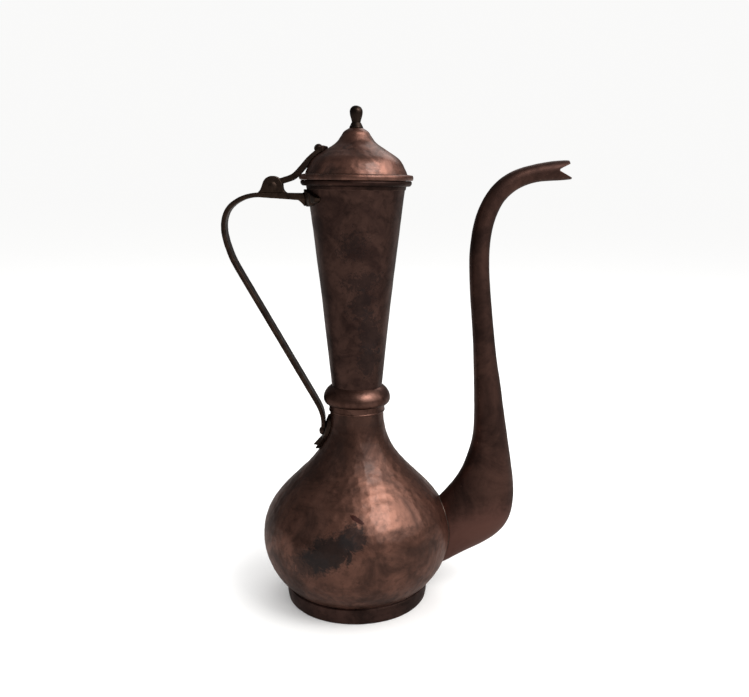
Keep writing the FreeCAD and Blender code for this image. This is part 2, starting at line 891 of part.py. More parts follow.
pieces = {
    "foot_ring": foot_ring,
    "belly_lower": belly_lower,
    "belly_upper": belly_upper,
    "neck_collar": neck_collar,
    "neck_bead": neck_bead,
    "neck_tube": neck_tube,
    "rim_band": rim_band,
    "spout": spout,
    "handle_strap": handle_strap,
    "neck_palmette": neck_palmette,
    "handle_leaf": handle_leaf,
    "leaf_rivet": leaf_rivet,
    "hinge_cheek_front": lambda: hinge_cheek(-1),
    "hinge_cheek_rear": lambda: hinge_cheek(1),
    "hinge_pin": hinge_pin,
    "lid_dome": lid_dome,
    "lid_bezel": lid_bezel,
    "lid_strap": lid_strap,
    "strap_end_rivet": strap_end_rivet,
    "strap_flush_rivet": strap_flush_rivet,
    "finial_collar": finial_collar,
    "finial": finial,
    "finial_washer": finial_washer,
}

os.makedirs("parts", exist_ok=True)
for name, make in pieces.items():
    shape = make()
    state = "valid" if shape.isValid() else "not valid"
    print(name, state, "solids", len(shape.Solids), "volume", round(shape.Volume, 1))
    shape.exportStep("parts/" + name + ".step")
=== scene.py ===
import bpy
import bmesh
import math
import random

import numpy as np
from mathutils import Matrix, Vector, kdtree, noise


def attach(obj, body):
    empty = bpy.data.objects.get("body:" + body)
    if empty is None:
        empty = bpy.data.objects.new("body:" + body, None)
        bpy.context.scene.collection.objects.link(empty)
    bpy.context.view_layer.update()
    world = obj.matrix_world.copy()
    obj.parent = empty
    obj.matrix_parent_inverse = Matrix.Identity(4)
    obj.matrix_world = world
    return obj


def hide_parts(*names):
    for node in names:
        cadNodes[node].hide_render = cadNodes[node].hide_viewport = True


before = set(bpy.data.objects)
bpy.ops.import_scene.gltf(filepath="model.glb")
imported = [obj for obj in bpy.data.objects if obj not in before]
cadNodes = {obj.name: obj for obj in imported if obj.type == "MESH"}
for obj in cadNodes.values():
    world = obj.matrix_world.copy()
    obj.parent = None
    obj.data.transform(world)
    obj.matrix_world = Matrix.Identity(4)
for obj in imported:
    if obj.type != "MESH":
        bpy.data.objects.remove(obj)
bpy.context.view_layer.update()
scene = bpy.context.scene

mm = 0.001
seeds = {"dents": 5, "belly": 11, "foot": 21, "bead": 31, "neck": 41, "spout": 51, "lid": 61}


# small helpers for the shapes

def addPiece(name, mesh, body, nodes=()):
    piece = bpy.data.objects.new(name, mesh)
    scene.collection.objects.link(piece)
    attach(piece, body)
    if nodes:
        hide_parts(*nodes)
    return piece


def bezier(poles, count):
    # points along a Bezier of any degree, as an array
    poles = np.array(poles, float)
    degree = len(poles) - 1
    t = np.linspace(0, 1, count)[:, None]
    total = np.zeros((count, poles.shape[1]))
    for index, pole in enumerate(poles):
        total += math.comb(degree, index) * t ** index * (1 - t) ** (degree - index) * pole
    return total


def smoothThrough(points, count):
    # a Catmull-Rom run through points, evened out along its length
    points = np.array(points, float)
    ends = np.vstack([2 * points[0] - points[1], points, 2 * points[-1] - points[-2]])
    steps = 24
    made = []
    for a, b, c, d in zip(ends, ends[1:], ends[2:], ends[3:]):
        for t in np.arange(steps) / steps:
            made.append(0.5 * (2 * b + (c - a) * t + (2 * a - 5 * b + 4 * c - d) * t ** 2
                               + (3 * b - a - 3 * c + d) * t ** 3))
    made.append(points[-1])
    return evened(np.array(made), count)


def evened(points, count):
    gaps = np.linalg.norm(np.diff(points, axis=0), axis=1)
    run = np.concatenate([[0], np.cumsum(gaps)])
    wanted = np.linspace(0, run[-1], count)
    return np.stack([np.interp(wanted, run, points[:, axis]) for axis in range(points.shape[1])], axis=1)


def outlineNormals(points):
    # to the right of the way the outline runs: outwards for one that climbs the outside
    along = np.gradient(points, axis=0)
    along /= np.maximum(np.linalg.norm(along, axis=1), 1e-9)[:, None]
    return np.stack([along[:, 1], -along[:, 0]], axis=1)


def insetBy(points, depth):
    return points - outlineNormals(points) * depth


def stepsFrom(radius, height, steps):
    # a run of points given as steps from one place on the outline
    return np.array([[radius + across, height + up] for across, up in steps])


def countFor(points, spacing):
    return max(4, int(np.linalg.norm(np.diff(points, axis=0), axis=1).sum() / spacing))


def turned(name, chain, columns, closed=True):
    # spins a chain of (radius, height) points in millimetres round the pot's axis
    outline = np.vstack(chain)
    keep = [0]
    for index in range(1, len(outline)):
        if np.linalg.norm(outline[index] - outline[keep[-1]]) > 0.02:
            keep.append(index)
    outline = outline[keep]
    if closed and np.linalg.norm(outline[0] - outline[-1]) < 0.02:
        outline = outline[:-1]
    rows = len(outline)
    angles = np.arange(columns) * 2 * math.pi / columns
    radius, height = outline[:, 0][:, None], outline[:, 1][:, None]
    verts = np.stack([radius * np.cos(angles), radius * np.sin(angles),
                      height + 0 * angles], axis=2).reshape(-1, 3) * mm
    faces = []
    for row in range(rows if closed else rows - 1):
        low, high = row * columns, ((row + 1) % rows) * columns
        for column in range(columns):
            nextColumn = (column + 1) % columns
            faces.append((low + column, low + nextColumn, high + nextColumn, high + column))
    mesh = bpy.data.meshes.new(name)
    mesh.from_pydata(verts.tolist(), [], faces)
    tidyMesh(mesh)
    return mesh


def tidyMesh(mesh):
    work = bmesh.new()
    work.from_mesh(mesh)
    bmesh.ops.remove_doubles(work, verts=work.verts, dist=1e-6)
    bmesh.ops.recalc_face_normals(work, faces=work.faces)
    work.to_mesh(mesh)
    work.free()


def shadeSmooth(mesh, sharpAngle=38):
    mesh.polygons.foreach_set("use_smooth", np.ones(len(mesh.polygons), bool))
    mesh.set_sharp_from_angle(angle=math.radians(sharpAngle))
    mesh.update()


def readMesh(mesh):
    places = np.empty(len(mesh.vertices) * 3)
    mesh.vertices.foreach_get("co", places)
    normals = np.empty(len(mesh.vertices) * 3)
    mesh.vertex_normals.foreach_get("vector", normals)
    return places.reshape(-1, 3), normals.reshape(-1, 3)


def writeMesh(mesh, places):
    mesh.vertices.foreach_set("co", places.ravel())
    mesh.update()


def wander(places, size, octaves=2, seed=0.0):
    # smooth noise, about -1 to 1, whose waves are size metres long
    shift = Vector((seed, seed * 0.7, seed * 1.3))
    values = np.empty(len(places))
    for index, place in enumerate(places):
        values[index] = noise.fractal(Vector(place) / size + shift, 1.0, 2.0, octaves)
    return values


def hammerRings(outline, spacing, seed):
    # planishing marks in rings round a turned sheet, set a little unevenly
    dice = random.Random(seed)
    rings = evened(outline, max(2, countFor(outline, spacing)))
    marks = []
    for radius, height in rings:
        count = max(3, int(2 * math.pi * radius / spacing))
        start = dice.random()
        for index in range(count):
            angle = 2 * math.pi * (index + start + dice.uniform(-0.3, 0.3)) / count
            lift = dice.uniform(-0.32, 0.32) * spacing
            spot = (radius * math.cos(angle), radius * math.sin(angle), height + lift)
            marks.append(tuple(value * mm for value in spot))
    return marks


def scatterMarks(places, spacing, seed):
    # marks spread over any surface: vertices taken at random, none nearer than spacing metres
    dice = random.Random(seed)
    order = list(range(len(places)))
    dice.shuffle(order)
    cells, marks = {}, []
    for index in order:
        place = places[index]
        cell = tuple(int(math.floor(value / spacing)) for value in place)
        near = (cells.get((cell[0] + a, cell[1] + b, cell[2] + c), ())
                for a in (-1, 0, 1) for b in (-1, 0, 1) for c in (-1, 0, 1))
        if all((place[0] - m[0]) ** 2 + (place[1] - m[1]) ** 2 + (place[2] - m[2]) ** 2 > spacing ** 2
               for group in near for m in group):
            cells.setdefault(cell, []).append(place)
            marks.append(tuple(place))
    return marks


def dentsAt(places, marks, reach, seed):
    # 0 at a dent's edge, down to about -1 in its middle
    dice = random.Random(seed)
    strength = [dice.uniform(0.35, 1.25) for mark in marks]
    finder = kdtree.KDTree(len(marks))
    for index, mark in enumerate(marks):
        finder.insert(mark, index)
    finder.balance()
    values = np.empty(len(places))
    for index, place in enumerate(places):
        found, which, distance = finder.find(place)
        values[index] = -strength[which] * (1 - min(distance / reach, 1.0) ** 2)
    return values


def hammer(mesh, marks, look, outsideOnly=True, joint=None):
    # works the sheet: dents under the planishing hammer, and long soft waves left by raising it
    places, normals = readMesh(mesh)
    lift = dentsAt(places, marks, look["dentSize"] * mm, seeds["dents"]) * look["dentDepth"] * mm
    lift += wander(places, look["waveSize"] * mm, 2, 3.1) * look["waveDepth"] * mm
    if joint is not None:
        # two sheets that meet at this height move straight outwards there, so they stay together
        level = np.abs(places[:, 2] / mm - joint) < 0.01
        normals[level, 2] = 0
        normals[level, :2] = places[level, :2] / np.hypot(places[level, 0], places[level, 1])[:, None]
    if outsideOnly:
        outwards = places[:, 0] * normals[:, 0] + places[:, 1] * normals[:, 1]
        span = np.maximum(np.hypot(places[:, 0], places[:, 1]), 1e-6)
        lift *= np.clip((outwards / span + 0.15) / 0.3, 0, 1)
    writeMesh(mesh, places + normals * lift[:, None])


def recast(name, node, voxel, rounds):
    # a finer copy of a CAD node whose edges are rounded off, as cast or worn metal is
    copy = bpy.data.objects.new(name + "Draft", cadNodes[node].data.copy())
    scene.collection.objects.link(copy)
    grid = copy.modifiers.new("grid", "REMESH")
    grid.mode = "VOXEL"
    grid.voxel_size = voxel * mm
    grid.use_smooth_shade = True
    soft = copy.modifiers.new("soft", "SMOOTH")
    soft.factor = 0.5
    soft.iterations = rounds
    depsgraph = bpy.context.evaluated_depsgraph_get()
    mesh = bpy.data.meshes.new_from_object(copy.evaluated_get(depsgraph))
    mesh.name = name
    bpy.data.objects.remove(copy)
    return mesh


def roughen(mesh, size, depth, seed):
    places, normals = readMesh(mesh)
    writeMesh(mesh, places + normals * (wander(places, size * mm, 3, seed) * depth * mm)[:, None])


# node groups that the finishes share

def newGroup(name, inputs, outputs):
    group = bpy.data.node_groups.new(name, "ShaderNodeTree")
    for label, kind, value in inputs:
        socket = group.interface.new_socket(name=label, in_out="INPUT", socket_type="NodeSocket" + kind)
        socket.default_value = value
    for label, kind in outputs:
        group.interface.new_socket(name=label, in_out="OUTPUT", socket_type="NodeSocket" + kind)
    start = group.nodes.new("NodeGroupInput")
    start.location = (-1100, 0)
    end = group.nodes.new("NodeGroupOutput")
    end.location = (900, 0)
    return group, start, end


def node(tree, kind, x, y, inputs=None, **settings):
    made = tree.nodes.new("ShaderNode" + kind)
    made.location = (x, y)
    for key, value in settings.items():
        setattr(made, key, value)
    for key, value in (inputs or {}).items():
        socket = made.inputs[key]
        if isinstance(value, bpy.types.NodeSocket):
            tree.links.new(value, socket)
        else:
            socket.default_value = value
    return made


def mathNode(tree, operation, x, y, first, second=None, third=None, clamp=False):
    values = {0: first}
    if second is not None:
        values[1] = second
    if third is not None:
        values[2] = third
    return node(tree, "Math", x, y, values, operation=operation, use_clamp=clamp).outputs[0]


def mixColour(tree, x, y, share, first, second):
    made = node(tree, "Mix", x, y, data_type="RGBA")
    for socket, value in ((made.inputs[0], share), (made.inputs[6], first), (made.inputs[7], second)):
        if isinstance(value, bpy.types.NodeSocket):
            tree.links.new(value, socket)
        else:
            socket.default_value = value
    return made.outputs[2]


def spread(tree, x, y, value, low, high):
    made = node(tree, "MapRange", x, y, {"Value": value, "From Min": low, "From Max": high},
                interpolation_type="SMOOTHSTEP")
    return made.outputs["Result"]


# where each noise begins and ends to show, and how the finest marks are broken up
shows = {"clouds": (0.32, 0.68), "specks": (0.46, 0.72), "broken": (0.3, 0.62), "edge": (0.51, 0.60),
         "hollow": (0.51, 0.58)}
soot = {"colour": (0.012, 0.008, 0.008, 1), "share": 0.65}
fineMarks = {"bendScale": 160.0, "bendReach": 0.0018, "smooth": 0.35, "gritScale": 1600.0}
blotEdge = {"start": 0.72, "soft": 0.36, "gain": 4.0}


def makeTarnishGroup():
    # clouds and specks of old tarnish over a metal colour
    group, start, end = newGroup("tarnish", [
        ("Bare", "Color", (0.3, 0.15, 0.1, 1)), ("Aged", "Color", (0.1, 0.05, 0.04, 1)),
        ("Cloud Size", "Float", 0.02), ("Speck Size", "Float", 0.002), ("Specks", "Float", 0.4)],
        [("Colour", "Color"), ("Clouds", "Float")])
    place = node(group, "TexCoord", -1100, 300).outputs["Object"]
    cloudScale = mathNode(group, "DIVIDE", -900, 200, 1.0, start.outputs["Cloud Size"])
    clouds = node(group, "TexNoise", -700, 300, {"Vector": place, "Scale": cloudScale, "Detail": 6.0,
                                                 "Roughness": 0.62, "Distortion": 0.7}).outputs["Fac"]
    clouds = spread(group, -500, 300, clouds, *shows["clouds"])
    speckScale = mathNode(group, "DIVIDE", -900, -100, 1.0, start.outputs["Speck Size"])
    specks = node(group, "TexNoise", -700, -100, {"Vector": place, "Scale": speckScale, "Detail": 5.0,
                                                  "Roughness": 0.62, "Distortion": 0.4}).outputs["Fac"]
    specks = spread(group, -500, -100, specks, *shows["specks"])
    speckShare = mathNode(group, "MULTIPLY", -300, -100, specks, start.outputs["Specks"])
    colour = mixColour(group, -100, 250, clouds, start.outputs["Bare"], start.outputs["Aged"])
    dark = mixColour(group, 100, 400, soot["share"], start.outputs["Aged"], soot["colour"])
    colour = mixColour(group, 300, 250, speckShare, colour, dark)
    group.links.new(colour, end.inputs["Colour"])
    group.links.new(clouds, end.inputs["Clouds"])
    return group


def makePlanishGroup():
    # the finest hammer marks, scratches and pits, as a height in metres
    group, start, end = newGroup("planish", [
        ("Mark Size", "Float", 0.0035), ("Mark Depth", "Float", 0.00005),
        ("Grit Depth", "Float", 0.00001)], [("Height", "Float")])
    place = node(group, "TexCoord", -1100, 300).outputs["Object"]
    bent = node(group, "TexNoise", -900, 420, {"Vector": place, "Scale": fineMarks["bendScale"],
                                               "Detail": 1.0}).outputs["Color"]
    bent = node(group, "VectorMath", -700, 420, {0: bent, 1: (0.5, 0.5, 0.5)},
                operation="SUBTRACT").outputs[0]
    bent = node(group, "VectorMath", -540, 420, {0: bent, "Scale": fineMarks["bendReach"]},
                operation="SCALE").outputs[0]
    bent = node(group, "VectorMath", -380, 360, {0: place, 1: bent}, operation="ADD").outputs[0]
    markScale = mathNode(group, "DIVIDE", -900, 100, 1.0, start.outputs["Mark Size"])
    marks = node(group, "TexVoronoi", -200, 300,
                 {"Vector": bent, "Scale": markScale, "Smoothness": fineMarks["smooth"]},
                 feature="SMOOTH_F1").outputs["Distance"]
    marks = mathNode(group, "POWER", 0, 300, marks, 2.0)
    grit = node(group, "TexNoise", -200, -50, {"Vector": place, "Scale": fineMarks["gritScale"],
                                               "Detail": 3.0}).outputs["Fac"]
    high = mathNode(group, "MULTIPLY", 200, 300, marks, start.outputs["Mark Depth"])
    fine = mathNode(group, "MULTIPLY", 200, 0, grit, start.outputs["Grit Depth"])
    group.links.new(mathNode(group, "ADD", 400, 200, high, fine), end.inputs["Height"])
    return group


def makeWearGroup():
    # edges rubbed bright and corners packed with dirt, broken up unevenly
    group, start, end = newGroup("handling", [
        ("Edge", "Float", 0.5), ("Dirt", "Float", 0.5), ("Patch Size", "Float", 0.006)],
        [("Worn", "Float"), ("Dirty", "Float")])
    bend = node(group, "NewGeometry", -1100, 300).outputs["Pointiness"]
    place = node(group, "TexCoord", -1100, 0).outputs["Object"]
    scale = mathNode(group, "DIVIDE", -900, -100, 1.0, start.outputs["Patch Size"])
    broken = node(group, "TexNoise", -700, 0, {"Vector": place, "Scale": scale,
                                               "Detail": 4.0}).outputs["Fac"]
    broken = spread(group, -500, 0, broken, *shows["broken"])
    edge = spread(group, -500, 300, bend, *shows["edge"])
    edge = mathNode(group, "MULTIPLY", -300, 300, edge, broken)
    group.links.new(mathNode(group, "MULTIPLY", 100, 300, edge, start.outputs["Edge"], clamp=True),
                    end.inputs["Worn"])
    hollow = mathNode(group, "SUBTRACT", -700, 200, 1.0, bend)
    hollow = spread(group, -500, 150, hollow, *shows["hollow"])
    group.links.new(mathNode(group, "MULTIPLY", 100, 100, hollow, start.outputs["Dirt"], clamp=True),
                    end.inputs["Dirty"])
    return group


def makeStainAndPaintedLightGroup():
    # one ragged blot, for a stain or for a patch of painted light or shade: an uneven blot round a place,
    # longer in the directions that Reach says
    group, start, end = newGroup("stainAndPaintedLight", [
        ("Place", "Vector", (0, 0, 0)), ("Reach", "Vector", (0.02, 0.02, 0.02)),
        ("Turn", "Float", 0.0), ("Ragged", "Float", 0.6), ("Grain", "Float", 0.006),
        ("Soft", "Float", blotEdge["soft"])], [("Mask", "Float")])
    place = node(group, "TexCoord", -1300, 300).outputs["Object"]
    away = node(group, "VectorMath", -1100, 300, {0: place, 1: start.outputs["Place"]},
                operation="SUBTRACT").outputs[0]
    away = node(group, "VectorRotate", -900, 300, {"Vector": away, "Angle": start.outputs["Turn"]},
                rotation_type="Y_AXIS").outputs[0]
    away = node(group, "VectorMath", -700, 300, {0: away, 1: start.outputs["Reach"]},
                operation="DIVIDE").outputs[0]
    far = node(group, "VectorMath", -500, 300, {0: away}, operation="LENGTH").outputs["Value"]
    grain = mathNode(group, "DIVIDE", -900, 0, 1.0, start.outputs["Grain"])
    ragged = node(group, "TexNoise", -700, 0, {"Vector": place, "Scale": grain, "Detail": 7.0,
                                               "Roughness": 0.68, "Distortion": 1.2}).outputs["Fac"]
    ragged = mathNode(group, "SUBTRACT", -500, 0, ragged, 0.5)
    ragged = mathNode(group, "MULTIPLY", -300, 0, ragged, start.outputs["Ragged"])
    ragged = mathNode(group, "MULTIPLY", -150, 0, ragged, blotEdge["gain"])
    far = mathNode(group, "ADD", 0, 200, far, ragged)
    outer = mathNode(group, "ADD", 0, 0, start.outputs["Soft"], blotEdge["start"])
    faded = spread(group, 200, 200, far, blotEdge["start"], outer)
    mask = mathNode(group, "SUBTRACT", 400, 200, 1.0, faded)
    group.links.new(mask, end.inputs["Mask"])
    return group


tarnishGroup = makeTarnishGroup()
planishGroup = makePlanishGroup()
wearGroup = makeWearGroup()
stainAndPaintedLightGroup = makeStainAndPaintedLightGroup()


def useGroup(tree, group, x, y, inputs):
    made = tree.nodes.new("ShaderNodeGroup")
    made.node_tree = group
    made.location = (x, y)
    for key, value in inputs.items():
        made.inputs[key].default_value = value
    return made


def metalFinish(name, look):
    # one aged metal: tarnish, worn edges, dirt in the hollows, stains and patches of painted light and
    # shade, fine hammer marks
    material = bpy.data.materials.new(name)
    material.use_nodes = True
    tree = material.node_tree
    shader = tree.nodes["Principled BSDF"]
    shader.location = (700, 200)
    tree.nodes["Material Output"].location = (1000, 200)
    tarnish = useGroup(tree, tarnishGroup, -900, 400, {
        "Bare": (*look["bare"], 1), "Aged": (*look["aged"], 1), "Cloud Size": look["cloudSize"] * mm,
        "Speck Size": look["speckSize"] * mm, "Specks": look["specks"]})
    wear = useGroup(tree, wearGroup, -900, 0, {
        "Edge": look["edgeWear"], "Dirt": look["dirt"], "Patch Size": look["patchSize"] * mm})
    planish = useGroup(tree, planishGroup, -900, -400, {
        "Mark Size": look["markSize"] * mm, "Mark Depth": look["markDepth"] * mm,
        "Grit Depth": look["gritDepth"] * mm})
    colour = mixColour(tree, -400, 400, wear.outputs["Worn"], tarnish.outputs["Colour"],
                       (*look["rubbed"], 1))
    colour = mixColour(tree, -200, 400, wear.outputs["Dirty"], colour, (*look["grime"], 1))
    rough = node(tree, "MapRange", -400, 100, {"Value": tarnish.outputs["Clouds"],
                                               "To Min": look["roughLow"],
                                               "To Max": look["roughHigh"]}).outputs["Result"]
    metallic = None
    # stains, and patches of painted light and shade, mixed into the colour and roughness
    for index, stainAndPaintedLight in enumerate(look.get("stainsAndPaintedLight", ())):
        level = -700 - 260 * index
        blot = useGroup(tree, stainAndPaintedLightGroup, -600, level, {
            "Place": [value * mm for value in stainAndPaintedLight["place"]],
            "Reach": [value * mm for value in stainAndPaintedLight["reach"]],
            "Turn": math.radians(stainAndPaintedLight["turn"]), "Ragged": stainAndPaintedLight["ragged"],
            "Grain": stainAndPaintedLight["grain"] * mm, "Soft": stainAndPaintedLight.get("soft", blotEdge["soft"])})
        share = mathNode(tree, "MULTIPLY", -300, level, blot.outputs["Mask"], stainAndPaintedLight["strength"])
        colour = mixColour(tree, 0, 400 - 60 * index, share, colour, (*stainAndPaintedLight["colour"], 1))
        rough = mathNode(tree, "MULTIPLY_ADD", 100, 100 - 60 * index, share, stainAndPaintedLight["dull"], rough)
        if "sooty" in stainAndPaintedLight:
            cut = mathNode(tree, "MULTIPLY", -100, level, share, stainAndPaintedLight["sooty"])
            metallic = mathNode(tree, "SUBTRACT", 100, level,
                                look["metallic"] if metallic is None else metallic, cut)
    tree.links.new(colour, shader.inputs["Base Color"])
    tree.links.new(rough, shader.inputs["Roughness"])
    if metallic is None:
        shader.inputs["Metallic"].default_value = look["metallic"]
    else:
        tree.links.new(metallic, shader.inputs["Metallic"])
    bump = node(tree, "Bump", 400, -200, {"Height": planish.outputs["Height"], "Distance": 1.0,
                                          "Strength": 1.0})
    tree.links.new(bump.outputs["Normal"], shader.inputs["Normal"])
    shader.inputs["Coat Weight"].default_value = look["film"]
    shader.inputs["Coat Roughness"].default_value = look["filmRough"]
    return material


def dress(piece, material, sharpAngle=38):
    piece.data.materials.clear()
    piece.data.materials.append(material)
    shadeSmooth(piece.data, sharpAngle)


def dressCad(nodeName, material):
    # a CAD node that stays: only its material changes
    target = cadNodes[nodeName]
    for slot in target.material_slots:
        slot.material = material
    if not target.material_slots:
        target.data.materials.append(material)


# camera and light, at the photograph's angle

cameraLook = {
    "focal": 813.9, "centre": (403.9, 397.0), "frame": (749, 697),    # pixels
    "pitch": 15.0, "roll": 0.74, "turn": 3.42,                        # degrees
    "place": (0.0, -565.4, 304.3),                                    # millimetres
    "sensor": 36.0,
}


def makeCamera(look):
    pitch, roll, turn = (math.radians(look[key]) for key in ("pitch", "roll", "turn"))
    ahead = Vector((math.sin(turn) * math.cos(pitch), math.cos(turn) * math.cos(pitch), -math.sin(pitch)))
    level = Vector((math.cos(turn), -math.sin(turn), 0))
    upright = level.cross(ahead)
    right = math.cos(roll) * level + math.sin(roll) * upright
    top = -math.sin(roll) * level + math.cos(roll) * upright
    data = bpy.data.cameras.new("photoCamera")
    width, height = look["frame"]
    data.sensor_width = look["sensor"]
    data.lens = look["focal"] / width * look["sensor"]
    data.shift_x = (width / 2 - look["centre"][0]) / width
    data.shift_y = (look["centre"][1] - height / 2) / width
    data.clip_start = 0.01
    camera = bpy.data.objects.new("photoCamera", data)
    scene.collection.objects.link(camera)
    facing = Matrix((right, top, -ahead)).transposed()
    camera.matrix_world = Matrix.Translation(Vector(look["place"]) * mm) @ facing.to_4x4()
    scene.camera = camera


lights = {
    "key": {"turn": 44, "rise": 49, "far": 1.25, "size": (0.5, 0.45), "power": 5.2,
            "colour": (1.0, 0.985, 0.965)},
    "window": {"turn": 60, "rise": 43, "far": 1.4, "size": (2.0, 1.3), "power": 12.5,
               "colour": (1.0, 0.985, 0.965)},
    "fill": {"turn": -65, "rise": 30, "far": 1.6, "size": (1.0, 1.2), "power": 0.8,
             "colour": (1.0, 0.98, 0.96)},
    "back": {"turn": 160, "rise": 45, "far": 1.6, "size": (1.2, 0.8), "power": 4.0,
             "colour": (1.0, 0.98, 0.96)},
}
lightTarget = Vector((0.01, 0, 0.15))
roomLook = {"glossy": 0.085, "ambient": 1.0, "floor": (0.952, 0.950, 0.945),
            "floorGlossy": (0.335, 0.325, 0.315), "floorRough": 0.9, "floorSize": 60.0}


def makeLights():
    for name, look in lights.items():
        turn, rise = math.radians(look["turn"]), math.radians(look["rise"])
        back = Vector((math.sin(turn) * math.cos(rise), -math.cos(turn) * math.cos(rise), math.sin(rise)))
        data = bpy.data.lights.new(name + "Light", "AREA")
        data.shape = "RECTANGLE"
        data.size, data.size_y = look["size"]
        data.energy = look["power"]
        data.color = look["colour"]
        lamp = bpy.data.objects.new(name + "Light", data)
        scene.collection.objects.link(lamp)
        lamp.location = lightTarget + back * look["far"]
        lamp.rotation_mode = "QUATERNION"
        lamp.rotation_quaternion = (-back).to_track_quat("-Z", "Y")


def makeRoom(look):
    world = bpy.data.worlds.new("paleRoom")
    world.use_nodes = True
    scene.world = world
    tree = world.node_tree
    path = node(tree, "LightPath", -600, 0)
    ground = tree.nodes["Background"]
    strength = node(tree, "MapRange", -300, 100, {"Value": path.outputs["Is Glossy Ray"],
                                                  "To Min": look["ambient"], "To Max": look["glossy"]})
    # seen past the floor's far edge, the room is as pale as the floor there
    seen = mixColour(tree, -300, 300, path.outputs["Is Camera Ray"], (1, 1, 1, 1),
                     [look["ambient"] * value for value in look["floor"]] + [1])
    tree.links.new(seen, ground.inputs["Color"])
    bright = node(tree, "MapRange", -100, 100, {"Value": path.outputs["Is Camera Ray"],
                                                "To Min": strength.outputs["Result"], "To Max": 1.0})
    tree.links.new(bright.outputs["Result"], ground.inputs["Strength"])
    mesh = bpy.data.meshes.new("studioFloor")
    half = look["floorSize"] / 2
    corners = [(-half, -half, 0), (half, -half, 0), (half, half, 0), (-half, half, 0)]
    mesh.from_pydata(corners, [], [(0, 1, 2, 3)])
    floor = bpy.data.objects.new("studioFloor", mesh)
    scene.collection.objects.link(floor)
    material = bpy.data.materials.new("paleFloor")
    material.use_nodes = True
    tree = material.node_tree
    path = node(tree, "LightPath", -600, 200)
    colour = mixColour(tree, -300, 200, path.outputs["Is Glossy Ray"], (*look["floor"], 1),
                       (*look["floorGlossy"], 1))
    shader = tree.nodes["Principled BSDF"]
    tree.links.new(colour, shader.inputs["Base Color"])
    shader.inputs["Roughness"].default_value = look["floorRough"]
    shader.inputs["Specular IOR Level"].default_value = 0.0
    mesh.materials.append(material)
    scene.view_settings.view_transform = "Standard"
    scene.view_settings.look = "None"


makeCamera(cameraLook)
makeLights()
makeRoom(roomLook)
print("camera, lights and floor are in place")


# the metals

copperLook = {
    "bare": (0.275, 0.131, 0.095), "aged": (0.100, 0.050, 0.038), "rubbed": (0.42, 0.25, 0.19),
    "grime": (0.018, 0.012, 0.011), "cloudSize": 26.0, "speckSize": 5.5, "specks": 0.55,
    "roughLow": 0.44, "roughHigh": 0.57, "metallic": 1.0, "edgeWear": 0.25, "dirt": 0.6, "patchSize": 5.0,
    "markSize": 4.6, "markDepth": 0.15, "gritDepth": 0.012, "film": 0.0, "filmRough": 0.2,
}
# the belly's dark patches and scratch, and a patch of painted shade round the throat
bellyStainsAndShade = [
    {"place": (-19, -64, 61), "reach": (19, 26, 11), "turn": 22, "strength": 0.9, "ragged": 0.5,
     "grain": 6.0, "soft": 0.5, "colour": (0.013, 0.010, 0.010), "dull": 0.14, "sooty": 0.2},
    {"place": (-3, -62, 71), "reach": (9, 24, 9), "turn": 40, "strength": 0.82, "ragged": 0.5,
     "grain": 4.0, "soft": 0.45, "colour": (0.018, 0.013, 0.013), "dull": 0.12, "sooty": 0.2},
    {"place": (-33, -60, 50), "reach": (13, 24, 8), "turn": 18, "strength": 0.6, "ragged": 0.8,
     "grain": 3.2, "soft": 0.8, "colour": (0.020, 0.014, 0.014), "dull": 0.12, "sooty": 0.2},
    {"place": (-0.5, -56, 82), "reach": (5.6, 20, 1.5), "turn": -28, "strength": 1.0, "ragged": 0.3,
     "grain": 3.0, "colour": (0.062, 0.022, 0.018), "dull": 0.1},
    # painted shade: a broad soft darkening of the upper belly round the throat
    {"place": (-4, -30, 128), "reach": (36, 34, 19), "turn": 0, "strength": 0.5, "ragged": 0.3,
     "grain": 9.0, "soft": 1.0, "colour": (0.045, 0.024, 0.020), "dull": 0.04},
]
neckBlot = {"strength": 0.7, "colour": (0.021, 0.012, 0.011), "dull": 0.1, "sooty": 0.2}
neckBlotHigh = dict(neckBlot, colour=(0.022, 0.012, 0.011))
neckStains = [
    dict(neckBlotHigh, place=(-3, -28, 262), reach=(9, 22, 8), turn=30, ragged=1.9, grain=2.4),
    dict(neckBlotHigh, place=(4, -26, 238), reach=(12, 22, 6), turn=6, ragged=1.5, grain=3.0),
    dict(neckBlot, place=(3, -24, 222), reach=(8, 22, 11), turn=-12, ragged=1.0, grain=4.5),
    dict(neckBlot, place=(9, -20, 203), reach=(8, 22, 14), turn=8, ragged=0.9, grain=5.0),
    dict(neckBlot, place=(8, -18, 182), reach=(8, 20, 11), turn=0, ragged=0.8, grain=5.0),
]
# painted light: a lighter, redder patch on the spout's lower front
spoutPaintedLight = [
    {"place": (88, -12, 44), "reach": (34, 24, 20), "turn": 20, "strength": 0.7, "ragged": 0.3,
     "grain": 8.0, "soft": 1.0, "colour": (0.22, 0.105, 0.085), "dull": 0.0},
]
bellyCopper = metalFinish("bellyCopper", dict(
    copperLook, bare=(0.285, 0.136, 0.098), specks=0.45, edgeWear=0.0, dirt=0.0, film=0.2,
    stainsAndPaintedLight=bellyStainsAndShade))
# painted shade: the neck's copper is a darker copy of the belly's, standing in for the dark surroundings it
# reflects
neckCopperPaintedShade = metalFinish("neckCopperPaintedShade", dict(
    copperLook, bare=(0.122, 0.066, 0.053), aged=(0.056, 0.031, 0.027), cloudSize=20.0, roughLow=0.38,
    roughHigh=0.50, markSize=5.0, markDepth=0.08, edgeWear=0.0, stainsAndPaintedLight=neckStains))
# painted light: the lid's copper is a lighter copy of the belly's
lidCopperPaintedLight = metalFinish("lidCopperPaintedLight", dict(
    copperLook, cloudSize=16.0, markSize=4.6, roughLow=0.42, roughHigh=0.56, edgeWear=0.2,
    bare=(0.33, 0.157, 0.116), specks=0.4, film=0.35))
